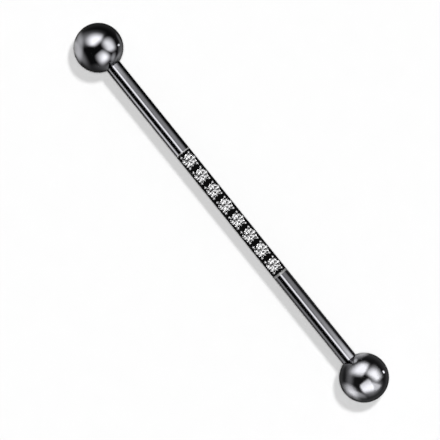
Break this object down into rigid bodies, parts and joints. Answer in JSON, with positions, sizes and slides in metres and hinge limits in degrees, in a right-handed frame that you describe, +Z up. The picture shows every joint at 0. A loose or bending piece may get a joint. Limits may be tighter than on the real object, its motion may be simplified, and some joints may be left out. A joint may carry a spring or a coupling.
{
  "type": "industrial barbell",
  "caption": "Straight barbell for a double piercing: a polished black bar with a ball screwed on each end and round clear stones bead-set in a flat along its middle.",
  "frame": {"origin": "on the surface that the barbell lies on, under the middle of the bar; the bar's axis is 2.5 mm above it", "axes": "+X along the bar to the right ball, +Z up, the way the stones face"},
  "size_m": [0.0474, 0.005, 0.005],
  "materials": {
    "black_steel": "polished, black coating",
    "clear_stone": "cut and polished"
  },
  "bodies": {
    "bar": {"bar": "black_steel", "stone_1": "clear_stone", "stone_2": "clear_stone", "stone_3": "clear_stone", "stone_4": "clear_stone", "stone_5": "clear_stone", "stone_6": "clear_stone", "stone_7": "clear_stone", "stone_8": "clear_stone"},
    "ball_left": {"ball_left": "black_steel"},
    "ball_right": {"ball_right": "black_steel"}
  },
  "joints": [
    {"name": "unscrew_left", "type": "slide", "parent": "bar", "child": "ball_left", "axis": [-1, 0, 0], "range_m": [0, 0.01]},
    {"name": "unscrew_right", "type": "slide", "parent": "bar", "child": "ball_right", "axis": [1, 0, 0], "range_m": [0, 0.01]}
  ]
}
